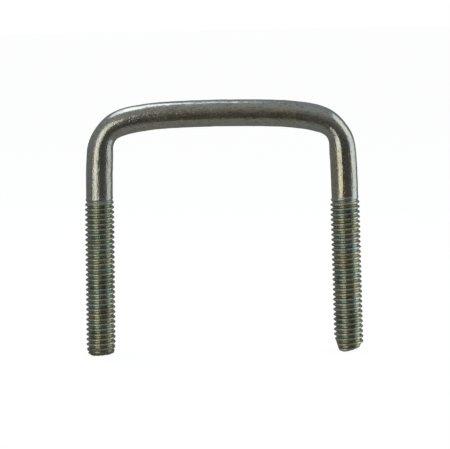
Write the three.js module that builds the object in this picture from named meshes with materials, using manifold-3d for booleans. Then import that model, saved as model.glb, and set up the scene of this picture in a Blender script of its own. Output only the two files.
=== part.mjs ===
// A square-bend U-bolt: one round steel bar, bent into a U and thread-rolled on both legs.
//
// Millimetres, +Z up. The U stands in the XZ plane on its two cropped ends, with the crown on top and
// the legs at -X and +X. The origin is the middle of the underside of its box.
//
// The bar is one closed surface. Its centreline is a chain of tangent arcs, the same on both sides of
// the middle of the crown, and every point of the surface is given by a distance along the centreline,
// an angle round it and a radius. Along the legs the rows of points climb with the thread, so that each
// root and each crest is one continuous helix.

import * as THREE from 'three';
import { mergeVertices } from 'three/addons/utils/BufferGeometryUtils.js';
import Module from 'manifold-3d';

// Bar and thread: M6 x 1, rolled on a bar of about its pitch diameter, so the crests stand proud of it.
const BAR_DIAMETER = 5.3;
const MAJOR_DIAMETER = 5.88;
const MINOR_DIAMETER = 4.77;
const PITCH = 1;
const ROOT_FLAT = PITCH / 8;
const FLANK = ((MAJOR_DIAMETER - MINOR_DIAMETER) / 2) * Math.tan(Math.PI / 6);
const RUN_OUT = 1.5 * PITCH;

// Overall shape. The height runs from the lower cropped end to the top of the crown.
const HEIGHT = 50.6;
const LEFT_THREAD_LENGTH = 32.2;
const RIGHT_THREAD_LENGTH = 31.6;

// Half the centreline, from the middle of the crown to the straight leg: radius and turn in degrees.
const HALF_BEND = [
  [254, 2.4],
  [50, 7.4],
  [17.3, 10.1],
  [6, 65.6],
  [120, 3.6],
];

// Bending draws the bar in across the bend and spreads it sideways, most of all at the middle of the
// corner, and less and less over this length to either side.
const CORNER_NARROWING = 0.125;
const CORNER_SPREAD = 0.03;
const CORNER_LENGTH = 2.8;

// Cropped ends, as the cuts that shape each one: where the cut crosses, in mm to +X of the leg's axis and
// above the base, and its tilt in degrees. The left end is nearly square, with a blunt chamfer that runs out
// into a long lead: its corners are given as radius and height. The right end was sheared aslant: its face
// climbs outwards from a low corner, between two bevels.
const LEFT_CUTS = [{ across: 0, above: 0.15, tilt: -4 }];
const LEFT_CHAMFER = [
  [2.2, 0.15],
  [2.65, 0.5],
  [2.95, 2.3],
];
const RIGHT_CUTS = [
  { across: 0, above: 0.31, tilt: -16.3 },
  { across: -1.07, above: 0, tilt: 17 },
  { across: -2.2, above: 0.75, tilt: 71.5 },
  { across: 2.3, above: 1.22, tilt: -45 },
];

const SIDES = 16;
const LINES_PER_TURN = [0, ROOT_FLAT, ROOT_FLAT + FLANK, PITCH - FLANK];
const LINE_IS_CREST = [false, false, true, true];
const RING_SPACING = 3.2;
const RING_TURN = 7;
const WASTE_TURNS = 2;

const wasm = await Module();
wasm.setup();

const radians = THREE.MathUtils.degToRad;
const arcLength = ([radius, degrees]) => radius * radians(degrees);

/** The point and heading at a signed distance from the middle of the crown, which is at the origin. */
function centreline(distance) {
  const side = Math.sign(distance);
  let left = Math.abs(distance);
  let turned = 0;
  let x = 0;
  let z = 0;
  for (const arc of HALF_BEND) {
    const [radius] = arc;
    const step = Math.min(left, arcLength(arc));
    const next = turned + step / radius;
    x += radius * (Math.sin(next) - Math.sin(turned));
    z += radius * (Math.cos(next) - Math.cos(turned));
    turned = next;
    left -= step;
  }
  x += left * Math.cos(turned);
  z -= left * Math.sin(turned);
  return { x: side * x, z, heading: -side * turned };
}

const lengthOf = (arcs) => arcs.reduce((sum, arc) => sum + arcLength(arc), 0);
const bendLength = lengthOf(HALF_BEND);
const cornerMiddle = lengthOf(HALF_BEND.slice(0, 3)) + arcLength(HALF_BEND[3]) / 2;
const legTop = centreline(bendLength);
const legEnd = bendLength + (HEIGHT - BAR_DIAMETER / 2 + legTop.z) / Math.sin(-legTop.heading);

/** A point of the surface. Angle 0 faces out of the U, and a quarter turn on faces -Y. */
function surfacePoint(distance, angle, outward, sideways) {
  const { x, z, heading } = centreline(distance);
  const u = outward * Math.cos(angle);
  const v = sideways * Math.sin(angle);
  return new THREE.Vector3(x - u * Math.sin(heading), -v, z + u * Math.cos(heading));
}

const points = [];
const triangles = [];
const sideAngle = (side) => (2 * Math.PI * side) / SIDES;

function addPoint(point) {
  points.push(point.x, point.y, point.z);
  return points.length / 3 - 1;
}

/** A flat ring of points round the plain bar. */
function ring(distance) {
  const offCorner = (Math.abs(distance) - cornerMiddle) / CORNER_LENGTH;
  const bent = Math.exp(-offCorner * offCorner);
  const outward = (BAR_DIAMETER / 2) * (1 - CORNER_NARROWING * bent);
  const sideways = (BAR_DIAMETER / 2) * (1 + CORNER_SPREAD * bent);
  return Array.from({ length: SIDES }, (_, side) =>
    addPoint(surfacePoint(distance, sideAngle(side), outward, sideways)),
  );
}

/** Two triangles between the points a, b of one row and c, d beyond them on the next. */
function quad(a, b, c, d) {
  triangles.push(a, b, c, b, d, c);
}

function joinRings(near, far) {
  near.forEach((point, side) => {
    const next = (side + 1) % SIDES;
    quad(point, near[next], far[side], far[next]);
  });
}

/**
 * The thread from one distance on, as four helical lines a turn: two along the root, two along the crest.
 * Its depth fades into the bar over the run-out next to the crown. It gives the steps at both open ends,
 * from the point that lies over the first side of a ring.
 */
function thread(start, turns, shoulder) {
  const steps = turns * SIDES;
  const lines = LINES_PER_TURN.map((offset, line) => {
    const full = (LINE_IS_CREST[line] ? MAJOR_DIAMETER : MINOR_DIAMETER) / 2;
    return Array.from({ length: steps + 1 }, (_, step) => {
      const distance = start + offset + (PITCH * step) / SIDES;
      const depth = THREE.MathUtils.smoothstep(Math.abs(distance - shoulder), 0, RUN_OUT);
      const beyond = Math.sign(shoulder) * (distance - shoulder) < 0;
      const radius = THREE.MathUtils.lerp(BAR_DIAMETER / 2, full, beyond ? 0 : depth);
      return addPoint(surfacePoint(distance, sideAngle(step), radius, radius));
    });
  });
  const [rootStart, rootEnd, crestStart, crestEnd] = lines;
  for (let step = 0; step < steps; step++) {
    quad(rootStart[step], rootStart[step + 1], rootEnd[step], rootEnd[step + 1]);
    quad(rootEnd[step], rootEnd[step + 1], crestStart[step], crestStart[step + 1]);
    quad(crestStart[step], crestStart[step + 1], crestEnd[step], crestEnd[step + 1]);
    const on = step + SIDES;
    if (on < steps) quad(crestEnd[step], crestEnd[step + 1], rootStart[on], rootStart[on + 1]);
  }
  return {
    first: [...rootStart.slice(0, SIDES + 1), crestEnd[0], crestStart[0], rootEnd[0]],
    last: [...crestEnd.slice(-SIDES - 1), crestStart[steps], rootEnd[steps], rootStart[steps]],
  };
}

/** Closes the gap between a flat ring and the open end of a thread, whose loop starts at side 0. */
function joinThread(circle, loop, threadIsBeyond) {
  const turnOver = ([a, b, c]) => triangles.push(...(threadIsBeyond ? [a, b, c] : [a, c, b]));
  for (let side = 0; side < SIDES; side++) {
    const next = (side + 1) % SIDES;
    turnOver([circle[side], circle[next], loop[side]]);
    turnOver([circle[next], loop[side + 1], loop[side]]);
  }
  for (let i = SIDES; i < loop.length; i++) {
    turnOver([circle[0], loop[(i + 1) % loop.length], loop[i]]);
  }
}

function cap(circle, facesBack) {
  for (let side = 1; side < SIDES - 1; side++) {
    const corner = [circle[0], circle[side], circle[side + 1]];
    triangles.push(...(facesBack ? corner.reverse() : corner));
  }
}

/** Distances of the rings from one shoulder of the thread to the other, closer where the bar bends more. */
function ringDistances(from, to) {
  const half = [0];
  let start = 0;
  for (const arc of [...HALF_BEND, [Infinity, 0]]) {
    const length = Number.isFinite(arc[0]) ? arcLength(arc) : Math.max(-from, to) - start;
    const count = Math.max(1, Math.ceil(length / RING_SPACING), Math.ceil(arc[1] / RING_TURN));
    for (let i = 1; i <= count; i++) half.push(start + (length * i) / count);
    start += length;
  }
  const both = [...half.slice(1).map((distance) => -distance).reverse(), ...half];
  return [from, ...both.filter((distance) => distance > from + 0.2 && distance < to - 0.2), to];
}

/** The whole bar, with legs that run on past their ends. */
function longBar() {
  const leftShoulder = -legEnd + LEFT_THREAD_LENGTH;
  const rightShoulder = legEnd - RIGHT_THREAD_LENGTH;
  const leftTurns = Math.ceil(LEFT_THREAD_LENGTH / PITCH) + WASTE_TURNS;
  const rightTurns = Math.ceil(RIGHT_THREAD_LENGTH / PITCH) + WASTE_TURNS;

  const left = thread(leftShoulder - leftTurns * PITCH, leftTurns, leftShoulder);
  const right = thread(rightShoulder, rightTurns, rightShoulder);
  const rings = ringDistances(leftShoulder + PITCH, rightShoulder - PITCH / 4).map(ring);
  const firstRing = ring(leftShoulder - (leftTurns + 1) * PITCH);
  const lastRing = ring(rightShoulder + (rightTurns + 2) * PITCH);

  cap(firstRing, true);
  joinThread(firstRing, left.first, true);
  joinThread(rings[0], left.last, false);
  rings.slice(1).forEach((far, i) => joinRings(rings[i], far));
  joinThread(rings.at(-1), right.first, true);
  joinThread(lastRing, right.last, false);
  cap(lastRing, false);

  const geometry = new THREE.BufferGeometry();
  geometry.setAttribute('position', new THREE.Float32BufferAttribute(points, 3));
  geometry.setIndex(triangles);
  return geometry;
}

function toSolid(geometry) {
  const bare = geometry.clone();
  bare.deleteAttribute('normal');
  bare.deleteAttribute('uv');
  const merged = mergeVertices(bare, 1e-5);
  const vertProperties = Float32Array.from(merged.getAttribute('position').array);
  const triVerts = Uint32Array.from(merged.getIndex().array);
  return new wasm.Manifold(new wasm.Mesh({ numProp: 3, vertProperties, triVerts }));
}

function toGeometry(solid) {
  const { vertProperties, triVerts } = solid.getMesh();
  const geometry = new THREE.BufferGeometry();
  geometry.setAttribute('position', new THREE.BufferAttribute(vertProperties, 3));
  geometry.setIndex(new THREE.BufferAttribute(triVerts, 1));
  return geometry;
}

/** A block that takes away everything past one cut through a leg's end. */
function croppingBlock(side, { across, above, tilt }) {
  const size = 4 * MAJOR_DIAMETER;
  const end = centreline(side * legEnd);
  const block = new THREE.BoxGeometry(size, size, size);
  block.translate(0, 0, -size / 2);
  block.rotateY(radians(tilt));
  return toSolid(block.translate(end.x + across, 0, end.z + above));
}

/** A ring whose bore leaves a chamfer with these corners on a leg's end. */
function chamferRing(side, corners) {
  const [innerRadius] = corners[0];
  const [, topHeight] = corners.at(-1);
  const reach = MAJOR_DIAMETER;
  const profile = [
    corners[0],
    [innerRadius, -reach],
    [reach, -reach],
    [reach, topHeight],
    ...[...corners].reverse(),
  ].map(([radius, height]) => new THREE.Vector2(radius, height));
  const end = centreline(side * legEnd);
  const cone = new THREE.LatheGeometry(profile, 2 * SIDES);
  cone.rotateX(Math.PI / 2);
  cone.rotateY(-side * (Math.PI / 2 - Math.abs(end.heading)));
  return toSolid(cone.translate(end.x, 0, end.z));
}

let bolt = toSolid(longBar()).subtract(chamferRing(-1, LEFT_CHAMFER));
for (const cut of LEFT_CUTS) bolt = bolt.subtract(croppingBlock(-1, cut));
for (const cut of RIGHT_CUTS) bolt = bolt.subtract(croppingBlock(1, cut));

const geometry = toGeometry(bolt);
geometry.computeBoundingBox();
const middle = geometry.boundingBox.getCenter(new THREE.Vector3());
geometry.translate(-middle.x, -middle.y, -geometry.boundingBox.min.z);
geometry.computeVertexNormals();

// Mild steel, zinc plated and passivated to a dull olive.
const zincPlatedSteel = new THREE.MeshStandardMaterial({ color: 0x7d7f6c, roughness: 0.35, metalness: 1 });

const uBolt = new THREE.Mesh(geometry, zincPlatedSteel);
uBolt.name = 'u_bolt';

const group = new THREE.Group();
group.add(uBolt);

export default group;
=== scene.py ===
# %% [markdown]
# # A square-bend U-bolt in zinc plated steel
#
# The real object is one piece: a round mild steel bar, rolled with a thread at both ends, bent cold at
# two corners, cropped to length and then zinc plated and passivated. Its looks come from three things:
# how the smooth bar bends, how crisp the rolled thread is, and how a thin dull olive film lies on bright
# metal. This lesson makes the bar as one surface, unrolls its coordinates so that patterns follow the
# bend, and gives it one metal finish that changes from shank to thread.

import bmesh
import bpy
import numpy as np
from mathutils import Matrix, Vector


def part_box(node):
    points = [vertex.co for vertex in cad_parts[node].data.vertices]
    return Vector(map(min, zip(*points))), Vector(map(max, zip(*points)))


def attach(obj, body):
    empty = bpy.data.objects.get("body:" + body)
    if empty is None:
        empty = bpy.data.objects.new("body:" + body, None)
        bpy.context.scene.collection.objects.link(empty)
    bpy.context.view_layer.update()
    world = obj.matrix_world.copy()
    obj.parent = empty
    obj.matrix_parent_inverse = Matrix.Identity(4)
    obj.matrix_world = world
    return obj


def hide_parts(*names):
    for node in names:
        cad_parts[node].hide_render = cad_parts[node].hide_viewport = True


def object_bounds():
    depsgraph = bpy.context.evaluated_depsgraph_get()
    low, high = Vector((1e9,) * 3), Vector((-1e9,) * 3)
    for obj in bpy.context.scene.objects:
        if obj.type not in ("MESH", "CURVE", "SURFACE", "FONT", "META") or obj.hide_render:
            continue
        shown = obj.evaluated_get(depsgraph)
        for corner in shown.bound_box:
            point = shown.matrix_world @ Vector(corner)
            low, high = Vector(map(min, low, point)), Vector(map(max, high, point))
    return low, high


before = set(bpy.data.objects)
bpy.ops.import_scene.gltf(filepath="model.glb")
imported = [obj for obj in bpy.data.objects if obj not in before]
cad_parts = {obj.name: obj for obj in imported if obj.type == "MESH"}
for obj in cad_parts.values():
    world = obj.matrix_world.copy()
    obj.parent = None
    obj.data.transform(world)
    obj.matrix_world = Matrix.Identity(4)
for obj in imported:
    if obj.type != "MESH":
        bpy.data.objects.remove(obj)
cad_low, cad_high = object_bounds()
NODE = "u_bolt"
MM = 0.001
low, high = (np.array(corner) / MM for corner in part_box(NODE))
print("CAD box in mm:", low.round(2), high.round(2))

# %% [markdown]
# ## Camera
#
# The bolt stands on its two cropped ends and is seen from the front, a few degrees from above, through
# a long lens, so the legs hardly converge. A camera could be turned by Euler angles, but three unit
# vectors are easier to read: where it looks, what it calls right and what it calls up. A small roll
# turns the last two about the first.

# %% Camera
CAMERA_ELEVATION = np.radians(6.5)
CAMERA_ROLL = np.radians(1.1)
CAMERA_DISTANCE = 375 * MM
LENS_MM = 151.0
AIM_OFFSET = np.array([0.47, 0, 0.46]) * MM

aim = (np.array(cad_low) + np.array(cad_high)) / 2 + AIM_OFFSET
towards = np.array([0, -np.cos(CAMERA_ELEVATION), np.sin(CAMERA_ELEVATION)])
level_right = np.array([1.0, 0, 0])
level_up = np.cross(towards, level_right)
right = np.cos(CAMERA_ROLL) * level_right - np.sin(CAMERA_ROLL) * level_up
up = np.sin(CAMERA_ROLL) * level_right + np.cos(CAMERA_ROLL) * level_up

camera_data = bpy.data.cameras.new("camera")
camera_data.lens = LENS_MM
camera_data.sensor_width = 36
camera_data.clip_start = 0.01
camera = bpy.data.objects.new("camera", camera_data)
turn = Matrix(np.column_stack([right, up, towards]).tolist()).to_4x4()
camera.matrix_world = Matrix.Translation(Vector(aim + CAMERA_DISTANCE * towards)) @ turn
bpy.context.collection.objects.link(camera)
bpy.context.scene.camera = camera
print("camera at", [round(c, 4) for c in camera.matrix_world.translation], "m")

# %% [markdown]
# ## Driving sizes
#
# The bar is thinner than the thread's crests, because rolling pushes metal out of the roots and up into
# the crests. That is how a rolled thread is told from a cut one. Height and place come from the frame.
# The sizes here are in millimetres, and are turned to metres once, when the mesh is made. The crests and
# the crown give up a little height to the bar's waviness, so that the bar stays inside the CAD box.

# %% Driving sizes
BAR_RADIUS = 5.3 / 2
WAVE_HEIGHT = 0.011
MAJOR_RADIUS = 5.88 / 2 - WAVE_HEIGHT
MINOR_RADIUS = 4.77 / 2
PITCH = 1.0
RUN_OUT = 2.5 * PITCH
SIDE_OF = {"left": -1, "right": 1}
THREAD_LENGTH = {"left": 32.2, "right": 31.6}
# The angle at which each thread starts, in turns from the outer side of the U.
THREAD_START = {"left": 0.5, "right": -0.25}

# Half of the U, from the middle of the crown: the radius of each arc, and its turn in degrees.
HALF_BEND = [(254, 2.4), (50, 7.4), (17.3, 10.1), (6, 65.6), (120, 3.6)]
BEND_EASE = 2.4
# How much thinner and wider the middle of a corner is than the bar, and how far that reaches.
CORNER_NARROWING = 0.125
CORNER_SPREAD = 0.03
CORNER_LENGTH = 2.8

# The mesh has so many points round the bar, lines in each pitch, and mm between its smooth rings.
SIDES = 64
LINES = 16
RING_SPACING = 0.3
print("crests rise", round(MAJOR_RADIUS - BAR_RADIUS, 3), "mm above the bar")
print("roots lie", round(BAR_RADIUS - MINOR_RADIUS, 3), "mm below it")

# %% [markdown]
# ## The centreline
#
# A bent bar has no kinks in its curvature: each bend grows out of the next. The centreline could be a
# Bezier curve, but then nobody could read its radii. Here it is a list of arcs, each a radius and a
# turn, and the curvature of the list is averaged over a couple of millimetres. Summing curvature gives
# the heading, and summing the heading's cosine and sine gives the place.

# %% Centreline
TABLE_STEP = 0.01
TABLE_END = 90

arc_radius, arc_turn = np.array(HALF_BEND, float).T
arc_length = arc_radius * np.radians(arc_turn)
arc_end = np.cumsum(arc_length)
corner = arc_radius.argmin()
corner_middle = arc_end[corner] - arc_length[corner] / 2

table = np.arange(0, TABLE_END, TABLE_STEP)
curvature = np.append(1 / arc_radius, 0)[np.searchsorted(arc_end, table)]
window = np.hanning(int(BEND_EASE / TABLE_STEP) | 1)
mirrored = np.pad(curvature, len(window) // 2, mode="reflect")
curvature = np.convolve(mirrored, window / window.sum(), mode="valid")
table_heading = -np.cumsum(curvature) * TABLE_STEP
table_x = (np.cumsum(np.cos(table_heading)) - 1) * TABLE_STEP
crown_axis = high[2] - BAR_RADIUS - 2 * WAVE_HEIGHT
table_z = crown_axis + np.cumsum(np.sin(table_heading)) * TABLE_STEP
leg_end = np.interp(-low[2], -table_z, table)


def centreline(distance):
    """x, z and heading at a distance out from the middle of the crown.

    The heading is minus the running sum of the eased curvature, x is the running sum of its cosine,
    and z starts at the crown's axis and adds the running sum of its sine.
    """
    return tuple(np.interp(distance, table, values) for values in (table_x, table_z, table_heading))


print("half of the bar is", round(float(leg_end), 2), "mm long")
print("the corner's middle is", round(corner_middle, 2), "mm from the middle of the crown")

# %% [markdown]
# ## From straight bar to bent bar
#
# Every point of the surface is known by its place on the straight bar: a distance along it, an angle
# round it and a radius. Bending carries that place to the centreline. The two halves of the U match
# when one is turned half round about the upright axis, not when it is mirrored: a mirror would turn the
# right-hand thread into a left-hand one. A very low waviness, a hundredth of a millimetre, is what makes
# the reflections on drawn bar wander.

# %% Bending
def waves(distance, angle):
    """How far the bar swells, in wave heights, at a distance and an angle.

    It is the sum of five terms: half a sine of the distance, from 2 to 9 mm long, times a cosine of one
    to three times the angle.
    """
    rng = np.random.default_rng(5)
    total = np.zeros(np.broadcast(distance, angle).shape)
    for length in (9.1, 6.3, 4.4, 3.1, 2.2):
        lobes = rng.integers(1, 4)
        phase, twist = rng.uniform(0, 2 * np.pi, 2)
        total += np.sin(2 * np.pi * distance / length + phase) * np.cos(lobes * angle + twist) / 2
    return total


def bend(distance, angle, radius, side):
    """The point of the bent bar, in mm.

    It is the centreline's point, plus radius times the cosine of the angle towards the outside of the
    U, less radius times its sine along Y. Near the corner's middle the outward part shrinks and the
    sideways part grows by a bell curve of the distance from it.
    """
    x, z, heading = centreline(distance)
    bell = np.exp(-(((distance - corner_middle) / CORNER_LENGTH) ** 2))
    radius = radius + WAVE_HEIGHT * waves(side * distance, side * angle)
    outward = radius * np.cos(angle) * (1 - CORNER_NARROWING * bell)
    sideways = radius * np.sin(angle) * (1 + CORNER_SPREAD * bell)
    place = [side * (x - outward * np.sin(heading)), -side * sideways, z + outward * np.cos(heading)]
    return np.stack(np.broadcast_arrays(*place), axis=-1).reshape(-1, 3)


outer_side = bend(corner_middle, 0.0, BAR_RADIUS, 1)[0]
print("outer side of the right corner, in mm:", outer_side.round(2))

# %% [markdown]
# ## The thread
#
# A thread could be a cylinder with a screw-shaped bump, but its ridges would then cross the grid of the
# mesh and look chewed. Here the grid itself climbs: one step of the grid is one sixty-fourth of a turn,
# it rises by one sixty-fourth of the pitch, and 16 lines lie side by side in each pitch. After a turn,
# the last line of one pitch meets the first line of the next. The profile is a narrow root, two flanks at
# 60 degrees to each other and a blunt crest, averaged over a short stretch because rolled edges are round.

# %% Thread profile
ROOT_FLAT = PITCH / 8
FLANK = (MAJOR_RADIUS - MINOR_RADIUS) * np.tan(np.radians(30))
CREST_FLAT = PITCH - ROOT_FLAT - 2 * FLANK
ROUNDING = 0.24


def thread_height(phase):
    """0 in the root and 1 on the crest, for a phase from 0 to 1 across one pitch.

    A trapezoid about the middle of the crest: 1 within half its flat, falling to 0 over one flank,
    then averaged over shifts within the rounding.
    """
    shifts = np.linspace(-0.5, 0.5, 9) * ROUNDING
    off_crest = np.abs((phase[..., None] + shifts) % 1 - 0.5) * PITCH
    return np.clip(1 - (off_crest - CREST_FLAT / 2) / FLANK, 0, 1).mean(axis=-1)


print("crest flat", round(CREST_FLAT, 3), "mm, flank", round(FLANK, 3), "mm wide")

# %% [markdown]
# ## Half of the bar: places
#
# The smooth part is a grid of rings, and the climbing grid of the thread starts two lines' width past
# the last of them. The thread's depth grows from nothing over the run-out, as the rolling dies lift. The
# far end runs on past the crop, to one point on the axis. Four attributes go with the points: the place
# on the straight bar, how far the thread has grown, how close a point is to a crest, and whether it is on
# a cropped face.

# %% Half of the bar: places
SPARE_TURNS = 3


def smoothstep(ramp):
    """The ramp held between 0 and 1 and then eased: three times its square less twice its cube."""
    held = np.clip(ramp, 0, 1)
    return held**2 * (3 - 2 * held)


def half_places(side, thread_length, thread_start):
    """Points and attributes of half of the bar, with the numbers of its rings and climbing steps.

    On the climbing grid a step's angle is that of its turn, its distance is the pitch times the turns
    and the line's share of a pitch, and its radius goes from the bar's to the thread's as it grows.
    """
    shoulder = leg_end - thread_length
    rings = int(shoulder / RING_SPACING)
    angle = 2 * np.pi * (thread_start + np.arange(SIDES) / SIDES)
    ring_distance = np.linspace(0, shoulder - 2 * PITCH / LINES, rings)
    plain_distance, plain_angle = np.meshgrid(ring_distance, angle, indexing="ij")
    plain_radius = np.full_like(plain_distance, BAR_RADIUS)

    steps = (int(thread_length / PITCH) + SPARE_TURNS) * SIDES + 1
    step = np.arange(steps)[:, None]
    line = np.arange(LINES)[None, :]
    distance = shoulder + PITCH * (step / SIDES + line / LINES)
    rolled = smoothstep((distance - shoulder) / RUN_OUT)
    crest = np.broadcast_to(thread_height(line / LINES), distance.shape)
    full = MINOR_RADIUS + (MAJOR_RADIUS - MINOR_RADIUS) * crest
    radius = BAR_RADIUS + (full - BAR_RADIUS) * rolled
    thread_angle = np.broadcast_to(2 * np.pi * (thread_start + step / SIDES), distance.shape)

    distances = np.concatenate([plain_distance.ravel(), distance.ravel(), distance[-1:, -1] + PITCH])
    angles = np.concatenate([plain_angle.ravel(), thread_angle.ravel(), [0]])
    radii = np.concatenate([plain_radius.ravel(), radius.ravel(), [0]])
    points = bend(distances, angles, radii, side)
    crest_seen = 0.5 + (crest - 0.5) * rolled
    attributes = {
        "straight": np.stack([radii * np.cos(angles), side * radii * np.sin(angles), side * distances], -1),
        "thread": np.concatenate([np.zeros(plain_distance.size), rolled.ravel(), [1]]),
        "crest": np.concatenate([np.full(plain_distance.size, 0.5), crest_seen.ravel(), [0]]),
        "cropped": np.zeros(len(points)),
    }
    return points, attributes, rings, steps


sample_points, _, sample_rings, sample_steps = half_places(1, THREAD_LENGTH["right"], 0)
print("right half:", sample_rings, "rings,", sample_steps, "steps,", len(sample_points), "points")

# %% [markdown]
# ## Half of the bar: faces
#
# Where the thread starts, the first turn of the climbing grid leaves an edge that rises by one pitch and
# then drops back along the thread's own lines. A strip of quads and a fan of triangles close it to the
# last smooth ring. One more fan closes the far end to its point.

# %% Half of the bar: faces
def grid_quads(rows, columns, first):
    """Quads of a grid of rings, closed round: a corner, its neighbour round, and the two beyond them."""
    ring, column = np.meshgrid(np.arange(rows - 1), np.arange(columns), indexing="ij")
    beside = (column + 1) % columns
    corners = [ring * columns + column, ring * columns + beside]
    corners += [corners[1] + columns, corners[0] + columns]
    return first + np.stack(corners, axis=-1).reshape(-1, 4)


def half_faces(rings, steps):
    """Quads and triangles of half of the bar.

    The quads lie along each turn, lap one turn over the next, join the thread to the last ring, and
    lie between the rings. The triangles fan out over the thread's start and the far end.
    """
    first = rings * SIDES
    number = first + np.arange(steps)[:, None] * LINES + np.arange(LINES)
    tip = number[-1, -1] + 1
    along = [number[:-1, :-1], number[1:, :-1], number[1:, 1:], number[:-1, 1:]]
    lap = [number[:-SIDES - 1, -1], number[1:-SIDES, -1], number[SIDES + 1 :, 0], number[SIDES:-1, 0]]
    last_ring = np.append(np.arange(first - SIDES, first), first - SIDES)
    edge = np.concatenate([number[: SIDES + 1, 0], number[0, :0:-1], number[0, :1]])
    strip = [last_ring[:-1], last_ring[1:], edge[1 : SIDES + 1], edge[:SIDES]]
    quads = [np.stack(corners, axis=-1).reshape(-1, 4) for corners in (along, lap, strip)]
    quads.append(grid_quads(rings, SIDES, 0))
    start_fan = [np.full(LINES, last_ring[0]), edge[SIDES + 1 :], edge[SIDES:-1]]
    rim = np.concatenate([number[-1, ::-1], number[-SIDES - 1 : -1, -1]])
    end_fan = [rim, np.roll(rim, -1), np.full(len(rim), tip)]
    triangles = np.concatenate([np.stack(fan, axis=-1) for fan in (start_fan, end_fan)])
    return np.concatenate(quads).tolist() + triangles.tolist()


print("right half:", len(half_faces(sample_rings, sample_steps)), "faces")

# %% [markdown]
# ## The whole bar
#
# The two halves meet in the middle of the crown, where their first rings are the same points. Merging
# those makes one closed surface, and its volume shows that the faces point outwards: inside out, it
# would be negative.

# %% The whole bar
SEAM_REACH = 1e-6


def new_mesh(name, points, faces, attributes):
    """A mesh of these points in mm, with one attribute of its points for each keyword."""
    mesh = bpy.data.meshes.new(name)
    mesh.from_pydata(points * MM, [], faces)
    for key, values in attributes.items():
        kind, field = ("FLOAT_VECTOR", "vector") if values.ndim == 2 else ("FLOAT", "value")
        mesh.attributes.new(key, kind, "POINT").data.foreach_set(field, values.astype(np.float32).ravel())
    return mesh


bar = bmesh.new()
for name, side in SIDE_OF.items():
    points, attributes, rings, steps = half_places(side, THREAD_LENGTH[name], THREAD_START[name])
    half = new_mesh(name, points, half_faces(rings, steps), attributes)
    bar.from_mesh(half)
    print(name, "half:", len(half.vertices), "points")
    bpy.data.meshes.remove(half)
in_the_middle = [v for v in bar.verts if abs(v.co.x) < SEAM_REACH]
bmesh.ops.remove_doubles(bar, verts=in_the_middle, dist=SEAM_REACH)
print("open edges:", sum(not edge.is_manifold for edge in bar.edges))
print("volume before the crops:", round(bar.calc_volume() / MM**3, 1), "mm3")
long_bar = bpy.data.meshes.new("long bar")
bar.to_mesh(long_bar)
bar.free()

# %% [markdown]
# ## Shape of the ends
#
# The bar was cut with a shear. One end came off nearly square and has a blunt chamfer with a long lead,
# the other tore aslant, with a bevel on each side. Each end is a height above the leg's foot at every
# place across it: the highest of a few planes, and of the chamfer's cones, roughened by the ridges that
# a shear drags through steel.

# %% Shape of the ends
# Each plane of an end passes a place across the leg, at a height, both in mm, and falls at so many degrees.
CUTS = {
    "left": [(0, 0.15, -4)],
    "right": [(0, 0.31, -16.3), (-1.07, 0, 17), (-2.2, 0.75, 71.5), (2.3, 1.22, -45)],
}
# The corners of a chamfer's outline: a distance from the leg's axis, and a height, both in mm.
CHAMFER = {"left": [(2.0, -0.01), (2.65, 0.5), (2.95, 2.3)], "right": []}
RIDGE_HEIGHT = 0.02


def end_height(across, deep, cuts, chamfer):
    """How high the end is above the leg's foot, in mm, at a place off the leg's axis.

    Each plane's height there is its own height less its slope times the place's distance across it, and
    the chamfer's is read off its corners at the place's distance from the leg's axis. The highest of them
    counts. The ridges are three sines, as fine as the grid can show, and only ever cut deeper.
    """
    heights = [above - (across - centre) * np.tan(np.radians(tilt)) for centre, above, tilt in cuts]
    if chamfer:
        heights.append(np.interp(np.hypot(across, deep), *zip(*chamfer)))
    ridges = np.sin(7 * across + 1.5 * np.sin(2.1 * deep)) + 0.6 * np.sin(13 * across + 2 * deep)
    return np.max(heights, axis=0) + RIDGE_HEIGHT * (ridges + 0.5 * np.sin(5.3 * deep) + 2.1)


for name in SIDE_OF:
    middle_height = end_height(np.zeros(1), np.zeros(1), CUTS[name], CHAMFER[name])[0]
    print(name, "end:", round(float(middle_height), 3), "mm above the foot on the leg's axis")

# %% [markdown]
# ## Cropping blocks
#
# A block with the shape of an end on top can be taken away from the bar by a boolean, so the last turns
# of thread stop where the shear went through them. The block's grid is rings about the leg's axis, since
# square cells would make the chamfer's edge a staircase.

# %% Cropping blocks
BLOCK_RADIUS = 3.6
BLOCK_DEPTH = 8
BLOCK_RINGS = 40
BLOCK_SIDES = 160


def end_axis(side):
    """The point of the leg's axis at its end, in mm."""
    x, z, _ = centreline(leg_end)
    return np.array([side * x, 0, z])


def cropping_block(side, cuts, chamfer):
    """Points, faces and attributes of a block whose top has one end's shape: rings, a wall, two lids."""
    angle = np.linspace(0, 2 * np.pi, BLOCK_SIDES, endpoint=False)
    radius = np.linspace(BLOCK_RADIUS, BLOCK_RADIUS / BLOCK_RINGS / 2, BLOCK_RINGS)[:, None]
    across, deep = radius * np.cos(angle), radius * np.sin(angle)
    top = np.stack([across, deep, end_height(across, deep, cuts, chamfer)], axis=-1)
    bottom = top[:1] * [1, 1, 0] - [0, 0, BLOCK_DEPTH]
    offsets = np.concatenate([bottom, top]).reshape(-1, 3)
    lids = np.arange(len(offsets)).reshape(-1, BLOCK_SIDES)[[0, -1]].tolist()
    lids[0].reverse()
    zeros = np.zeros(len(offsets))
    attributes = {"straight": offsets, "thread": zeros, "crest": zeros, "cropped": zeros + 1}
    walls = grid_quads(BLOCK_RINGS + 1, BLOCK_SIDES, 0).tolist()
    return end_axis(side) + offsets, walls + lids, attributes


def new_object(name, mesh):
    """An object at the origin with this mesh, in the scene."""
    piece = bpy.data.objects.new(name, mesh)
    bpy.context.collection.objects.link(piece)
    return piece


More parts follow.
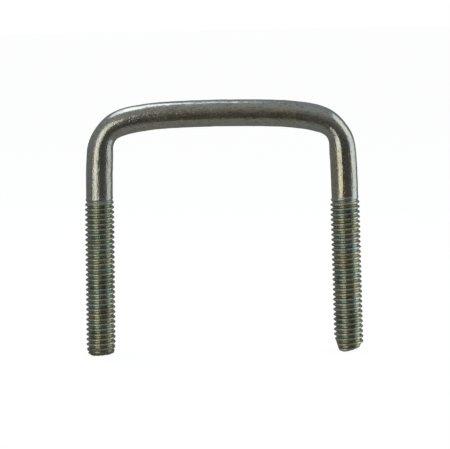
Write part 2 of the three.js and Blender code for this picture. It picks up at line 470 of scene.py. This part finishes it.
blocks = {}
for name, side in SIDE_OF.items():
    block_mesh = new_mesh(name, *cropping_block(side, CUTS[name], CHAMFER[name]))
    blocks[name] = new_object(name, block_mesh)
    print(name, "block:", len(block_mesh.polygons), "faces")

# %% [markdown]
# ## The finished bar
#
# The boolean carries the attributes over, so the faces that the blocks leave behind know that they were
# cropped. Edges of more than 50 degrees stay sharp: those of the cropped faces. The thread's own edges are
# rounded in the mesh, so they are shaded smooth.

# %% The finished bar
SHARP_DEGREES = 50

piece = new_object("zinc_plated_bar", long_bar)
for name, block in blocks.items():
    crop = piece.modifiers.new(name, "BOOLEAN")
    crop.object = block
    crop.solver = "MANIFOLD"
piece.data = bpy.data.meshes.new_from_object(piece.evaluated_get(bpy.context.evaluated_depsgraph_get()))
piece.modifiers.clear()
for block in blocks.values():
    bpy.data.objects.remove(block)
piece.data.name = "zinc_plated_bar"
piece.data.materials.clear()
piece.data.shade_smooth()
piece.data.set_sharp_from_angle(angle=np.radians(SHARP_DEGREES))
triangle_count = sum(len(face.vertices) - 2 for face in piece.data.polygons)
print("bar:", len(piece.data.vertices), "points,", triangle_count, "triangles")

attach(piece, "root")
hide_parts(NODE)

# %% [markdown]
# ## Helpers for the finish
#
# A finish is a network of nodes. Colours are given as they would be picked on a screen, and are turned to
# linear light before a shader sees them. Patterns are worked out in millimetres on the straight bar, from
# the attribute that the mesh carries, so a drawing line follows the bend and a band of colour goes round
# the leg.

# %% Helpers for the finish
def linear(hex_colour):
    """Linear RGBA of an opaque sRGB hex colour.

    A channel over 0.04045 becomes ((channel + 0.055) / 1.055) to the power 2.4, a smaller one is
    divided by 12.92.
    """
    channels = np.array([int(hex_colour[i : i + 2], 16) for i in (1, 3, 5)]) / 255
    curved = np.where(channels > 0.04045, ((channels + 0.055) / 1.055) ** 2.4, channels / 12.92)
    return (*curved.tolist(), 1.0)


def add_node(tree, kind, inputs=(), stops=(), output=None, **settings):
    """Adds a node with its settings and links, and gives back an output: the one named, or the first.

    The settings come first, because they decide which inputs are in use. The inputs are a list, for those
    in use in order, or a dictionary by name. A socket is linked and anything else is set. The stops are a
    ramp's positions and colours, with the outermost two first.
    """
    node = tree.nodes.new("ShaderNode" + kind)
    for key, value in settings.items():
        setattr(node, key, value)
    in_use = [socket for socket in node.inputs if socket.enabled]
    for key, value in inputs.items() if isinstance(inputs, dict) else enumerate(inputs):
        socket = in_use[key] if isinstance(key, int) else node.inputs[key]
        if isinstance(value, bpy.types.NodeSocket):
            tree.links.new(value, socket)
        else:
            socket.default_value = value
    for i, (position, colour) in enumerate(stops):
        elements = node.color_ramp.elements
        element = elements[i] if i < 2 else elements.new(position)
        element.position = position
        element.color = colour
    given_back = [socket for socket in node.outputs if socket.enabled and output in (None, socket.name)]
    return given_back[0] if given_back else node


print("middle grey in linear light:", [round(channel, 3) for channel in linear("#808080")])

# %% [markdown]
# ## Zinc plate with a passivate film
#
# Bright zinc plate is a metal: nearly neutral, and smooth enough to mirror a window with soft edges. The
# passivate on it is a film less than a thousandth of a millimetre thick, and its thickness sets its
# colour, from straw and olive to teal and blue. A thin-film shader could work out those colours, but
# layers of colour over each other, each with a mask, are easier to steer. The masks are noise stretched
# along the bar or round it, and the attributes say where the thread, its crests and the cropped ends are.

# %% Zinc plate: patterns
finish = bpy.data.materials.new("bright zinc plate, olive passivated")
finish.use_nodes = True
tree = finish.node_tree
tree.nodes.clear()

straight = add_node(tree, "Attribute", output="Vector", attribute_name="straight")
thread = add_node(tree, "Attribute", output="Fac", attribute_name="thread")
crest = add_node(tree, "Attribute", output="Fac", attribute_name="crest")
cropped = add_node(tree, "Attribute", output="Fac", attribute_name="cropped")


def pattern(across_mm, along_mm, start, end, detail=2.0, shift=0.0):
    """Noise with features so many mm wide round the bar and so many long along it.

    Its values from start to end are carried smoothly to 0 and 1, and the ones beyond them are held there.
    """
    size = (1 / across_mm, 1 / across_mm, 1 / along_mm)
    stretched = add_node(tree, "Mapping", {"Vector": straight, "Location": (shift, 0, 0), "Scale": size})
    noise = add_node(tree, "TexNoise", {"Vector": stretched, "Scale": 1.0, "Detail": detail})
    return add_node(tree, "MapRange", [noise, start, end, 0.0, 1.0], interpolation_type="SMOOTHSTEP")


def layered(colour, layers):
    """The colour with layers over it: each has a colour, how much of it there is, and masks to multiply."""
    for layer, amount, *masks in layers:
        for mask in masks:
            amount = add_node(tree, "Math", [mask, amount], operation="MULTIPLY")
        colour = add_node(tree, "Mix", [amount, colour, layer], data_type="RGBA")
    return colour


def added(value, terms):
    """The value plus the terms: each has an amount, and masks to multiply it by."""
    for amount, *masks in terms:
        for mask in masks[1:]:
            amount = add_node(tree, "Math", [mask, amount], operation="MULTIPLY")
        value = add_node(tree, "Math", [masks[0], amount, value], operation="MULTIPLY_ADD")
    return value


print("attributes read by", finish.name + ":", len(tree.nodes))

# %% [markdown]
# ### Where the bar is smooth, rolled and stained
#
# The film runs off the smooth legs, but some is left on the level crown and most of it stays in the
# thread. Roots hold more of it, and are painted paler as a painted highlight along each root; crests
# are rubbed bright, and painted lighter than bare plate as a painted highlight along each crest. Above
# one thread the solution has dried on one side of the shank, in gold and brown flecks, and the outer
# side of the U has been rubbed smoother than the rest. Each of these places is a ramp on an attribute,
# from 0 to 1.

# %% Zinc plate: places
outward = add_node(tree, "SeparateXYZ", [straight], output="X")
along = add_node(tree, "SeparateXYZ", [straight], output="Z")
off_middle = add_node(tree, "Math", [along], operation="ABSOLUTE")
ramps = {
    "smooth": (thread, 0.5, 0.0),
    "root": (crest, 0.5, 0.1),
    "top": (crest, 0.75, 1.0),
    "crown": (off_middle, 21, 12),
    "above_thread": (along, 24, 30),
    "inner_side": (outward, 0.9, -0.3),
    "off_outer_side": (outward, 2.1, 0.9),
}
places = {}
for name, (value, start, end) in ramps.items():
    inputs = [value, start, end, 0.0, 1.0]
    places[name] = add_node(tree, "MapRange", inputs, interpolation_type="SMOOTHSTEP")
on_shank = (places["above_thread"], places["inner_side"], places["smooth"])
print("places:", ", ".join(places))

# %% [markdown]
# ### Colour
#
# The plate itself is a light neutral grey, straw and cool by turns where the bar is smooth. The film's
# slow bands are read off a ramp from straw through olive to grey green, weak on the shank and nearly
# full in the thread. The roots take a pale colour that is partly the film pooled there and partly a
# painted highlight along each root, and the film there runs to teal and blue in lines round the leg.
# The crests take a colour lighter than bare plate, partly rubbed wear and partly a painted highlight.
# The flecks of the stain are drawn about half a millimetre wide.

# %% Zinc plate: colour
ZINC = linear("#cfd1cf")
STRAW = linear("#bbb794")
OLIVE = linear("#b2b99d")
GREY_GREEN = linear("#b5bead")
COOL = linear("#a9b9ba")
# The roots' colour: pooled film, made paler as a painted highlight along each root.
ROOT_FILM_AND_HIGHLIGHT = linear("#c3c8b1")
TEAL = linear("#a3c9c0")
BLUE = linear("#98c0cf")
# The crests' colour: rubbed zinc, made lighter as a painted highlight along each crest.
RUBBED_AND_HIGHLIGHT = linear("#e0dfd2")
GRIME = linear("#776f64")
GOLD = linear("#cdc49c")
BROWN = linear("#7d7053")
PALE = linear("#e8e0b8")
DULL = linear("#77705f")
RUST = linear("#6a5133")
# The cropped faces' colour: sheared steel grey, darkened with painted shade at the bolt's feet.
SHEARED_AND_SHADE = linear("#6f6a60")

slow = pattern(16, 3.2, 0.35, 0.65, detail=3, shift=2)
film = add_node(tree, "ValToRGB", [slow], stops=[(0.0, STRAW), (1.0, GREY_GREEN), (0.5, OLIVE)])
colour = layered(ZINC, [
    (STRAW, 0.25, pattern(3, 6, 0.42, 0.6, detail=4, shift=17), places["smooth"]),
    (COOL, 0.5, pattern(1.3, 3.5, 0.52, 0.62, detail=3, shift=61), places["smooth"]),
    (film, 0.95, thread),
    (film, 0.14, places["smooth"]),
    (STRAW, 0.4, places["crown"], places["off_outer_side"]),
    # Roots: pooled film colour plus a painted highlight.
    (ROOT_FILM_AND_HIGHLIGHT, 0.5, places["root"], thread),
    (TEAL, 0.6, pattern(16, 1.5, 0.5, 0.6, shift=13), places["root"], thread),
    (BLUE, 0.6, pattern(16, 1.5, 0.56, 0.66, shift=13), places["root"], thread),
    # Crests: rubbed wear plus a painted highlight.
    (RUBBED_AND_HIGHLIGHT, 0.7, places["top"], thread),
    (GRIME, 0.5, pattern(2.5, 3.5, 0.5, 0.68, detail=4, shift=53), thread),
    (GOLD, 0.85, pattern(0.4, 0.7, 0.42, 0.6, shift=31), *on_shank),
    (BROWN, 0.95, pattern(0.4, 0.7, 0.42, 0.3, shift=31), *on_shank),
])
print("film:", len(tree.nodes), "nodes so far")

# %% [markdown]
# ### Specks, rust and the sheared faces
#
# The shank is peppered with pale specks, where the plate grew in nodules, and with dull ones, where the
# film broke. Real specks are finer than a tenth of a millimetre, and here they are drawn four or five
# times as coarse, so that they show. A few spots in the thread have rusted brown. The cropped faces were
# plated over torn steel, so they are rougher than the rest, and their colour is darker: partly the grey
# of sheared steel and partly painted shade at the bolt's feet, where it stands on the floor.

# %% Zinc plate: specks
specks = pattern(0.45, 0.55, 0.56, 0.7, detail=1)
colour = layered(colour, [
    (PALE, 0.5, specks, places["smooth"]),
    (DULL, 0.45, pattern(0.36, 0.6, 0.56, 0.7, detail=1, shift=23), places["smooth"]),
    (DULL, 0.4, pattern(0.4, 0.5, 0.62, 0.72, detail=1, shift=29), thread),
    (RUST, 0.7, pattern(0.8, 0.8, 0.69, 0.74, shift=40), thread),
    # Cropped faces: sheared grey plus painted shade at the feet.
    (SHEARED_AND_SHADE, 0.8, cropped),
])
print("specks, rust and sheared ends:", len(tree.nodes), "nodes so far")

# %% [markdown]
# ### Roughness and relief
#
# Bright plate has a roughness of about 0.15 to 0.25. It is duller in blotches and in the thread, where
# the film is thick, and dullest on the sheared faces, and rubbed crests are the smoothest. The relief
# is about a twentieth of a millimetre at most: drawing lines along the bar, low lumps, raised specks and
# a fine grain. The real grain and lines are too fine to show, so the grain is drawn 0.25 mm wide and
# 0.6 mm long, and the lines are 0.3 mm wide.

# %% Zinc plate: roughness and relief
RELIEF_HEIGHT = 0.04

roughness = added(0.16, [
    (0.09, pattern(3, 5, 0.35, 0.7, detail=3, shift=7)),
    (0.09, thread),
    (-0.12, places["top"], thread),
    (0.20, cropped),
])
grain = pattern(0.25, 0.6, 0.2, 0.8, shift=3)
relief = added(0.0, [
    (0.15, grain),
    (0.22, grain, places["off_outer_side"]),
    (0.3, pattern(0.3, 9, 0.2, 0.8, shift=11)),
    (0.5, pattern(1.6, 2.4, 0.2, 0.8, shift=19)),
    (0.2, specks, places["off_outer_side"]),
])
bump = add_node(tree, "Bump", {"Strength": 1.0, "Distance": RELIEF_HEIGHT * MM, "Height": relief})
metal = {"Base Color": colour, "Metallic": 1.0, "Roughness": roughness, "Normal": bump}
shader = add_node(tree, "BsdfPrincipled", metal)
add_node(tree, "OutputMaterial", {"Surface": shader})
piece.data.materials.append(finish)
print("finish:", len(tree.nodes), "nodes")

# %% [markdown]
# ## Floor
#
# The bolt stands on a sheet of pale paper that is lit from below like a light table, so it takes almost
# no shadow and runs into the background. Paper is matt, and scatters what falls on it evenly. Most of its
# brightness is the glow here, so its own grey is darker than that of real paper. The steel doesn't mirror
# it: the sheet is left out of the reflections, and the steel sees the dim room under the table instead.

# %% Floor
FLOOR_HALF = 6.0
PAPER_GLOW = 0.93

floor_mesh = bpy.data.meshes.new("floor")
signs = ((-1, -1), (1, -1), (1, 1), (-1, 1))
floor_corners = [(x * FLOOR_HALF, y * FLOOR_HALF, cad_low[2]) for x, y in signs]
floor_mesh.from_pydata(floor_corners, [], [(0, 1, 2, 3)])
floor = new_object("floor", floor_mesh)
floor.visible_glossy = False
paper = bpy.data.materials.new("pale paper on a light table")
paper.use_nodes = True
paper_tree = paper.node_tree
paper_tree.nodes.clear()
matt = {"Base Color": linear("#6b6b6a"), "Roughness": 1.0}
glow = {"Emission Color": linear("#ffffff"), "Emission Strength": PAPER_GLOW}
sheet = add_node(paper_tree, "BsdfPrincipled", {**matt, **glow})
add_node(paper_tree, "OutputMaterial", {"Surface": sheet})
floor_mesh.materials.append(paper)
print("floor:", 2 * FLOOR_HALF, "m square")

# %% [markdown]
# ## Light
#
# Metal shows its surroundings, so the lights are placed by what the bar should mirror. A tall softbox on
# the left gives each leg its bright stripe, a near one on the right lights the right flanks, and one
# behind and above runs along the top of the crown. The room in front is dark, which gives the
# dark stripe beside each bright one, and it is paler to the sides, above and far below.

# %% Light
def softbox(name, azimuth, elevation, distance, width, height, radiance, hex_colour):
    """An area light aimed at the bolt: azimuth runs from the front to the right, all angles in degrees.

    Lengths are in metres, and its power is radiance times pi times its area.
    """
    data = bpy.data.lights.new(name, "AREA")
    data.shape = "RECTANGLE"
    data.size = width
    data.size_y = height
    data.energy = radiance * np.pi * width * height
    data.color = linear(hex_colour)[:3]
    lamp = bpy.data.objects.new(name, data)
    level = np.cos(np.radians(elevation))
    towards_lamp = [level * np.sin(np.radians(azimuth)), -level * np.cos(np.radians(azimuth))]
    direction = Vector((*towards_lamp, np.sin(np.radians(elevation))))
    lamp.rotation_euler = direction.to_track_quat("Z", "Y").to_euler()
    lamp.location = Vector(aim) + direction * distance
    lamp.visible_camera = False
    bpy.context.collection.objects.link(lamp)
    print(name + ":", round(data.energy, 3), "W")


softbox(
    "left softbox", azimuth=-34, elevation=4, distance=0.40,
    width=0.27, height=0.45, radiance=1.1, hex_colour="#fffdf4",
)
softbox(
    "right softbox", azimuth=95, elevation=6, distance=0.16,
    width=0.13, height=0.30, radiance=0.85, hex_colour="#f6faff",
)
softbox(
    "top softbox", azimuth=224, elevation=66, distance=0.45,
    width=0.24, height=0.22, radiance=1.65, hex_colour="#eef0ff",
)

# %% [markdown]
# ### The room
#
# Everything that no softbox covers is mirrored from the world, so it is drawn as a room: two ramps by
# height, one for what is in front of the bolt and one for its sides and back, blended at the front's
# edges. A ramp runs from straight down at 0, through level at 0.5, to straight up at 1. Only the camera
# sees the plain white behind the bolt.

# %% The room
def grey(value, warmth=0.0):
    """A nearly grey radiance, warmer above 0 and cooler below."""
    return (value * (1 + warmth), value, value * (1 - warmth), 1)


FRONT = [
    (0.0, grey(0.28, 0.06)),
    (1.0, grey(0.38, -0.06)),
    (0.1, grey(0.26, 0.08)),
    (0.145, grey(0.06, 0.08)),
    (0.5, grey(0.07, 0.05)),
    (0.62, grey(0.12, 0.07)),
    (0.75, grey(0.19, 0.04)),
    (0.88, grey(0.28)),
]
BACK = [
    (0.0, grey(0.22)),
    (1.0, grey(0.30, -0.06)),
    (0.35, grey(0.17)),
    (0.65, grey(0.22, -0.04)),
]
BACKDROP = grey(1.0)
# On a sphere of radius 1 the front ends at the first of these along Y, and has faded out at the second.
FRONT_EDGE = -0.7
FRONT_FADED = -0.3

world = bpy.data.worlds.new("studio")
bpy.context.scene.world = world
world.use_nodes = True
room = world.node_tree
room.nodes.clear()
direction = add_node(room, "TexCoord", output="Generated")
z = add_node(room, "SeparateXYZ", [direction], output="Z")
y = add_node(room, "SeparateXYZ", [direction], output="Y")
height = add_node(room, "MapRange", [z, -1.0, 1.0])
behind = add_node(room, "MapRange", [y, FRONT_EDGE, FRONT_FADED])
front = add_node(room, "ValToRGB", [height], stops=FRONT)
back = add_node(room, "ValToRGB", [height], stops=BACK)
mirrored_room = add_node(room, "Mix", [behind, front, back], data_type="RGBA")
dim = add_node(room, "Background", [mirrored_room])
white = add_node(room, "Background", [BACKDROP])
camera_ray = add_node(room, "LightPath", output="Is Camera Ray")
sky = add_node(room, "MixShader", [camera_ray, dim, white])
add_node(room, "OutputWorld", [sky])
bpy.context.scene.view_settings.view_transform = "Standard"
print("room:", len(room.nodes), "nodes")
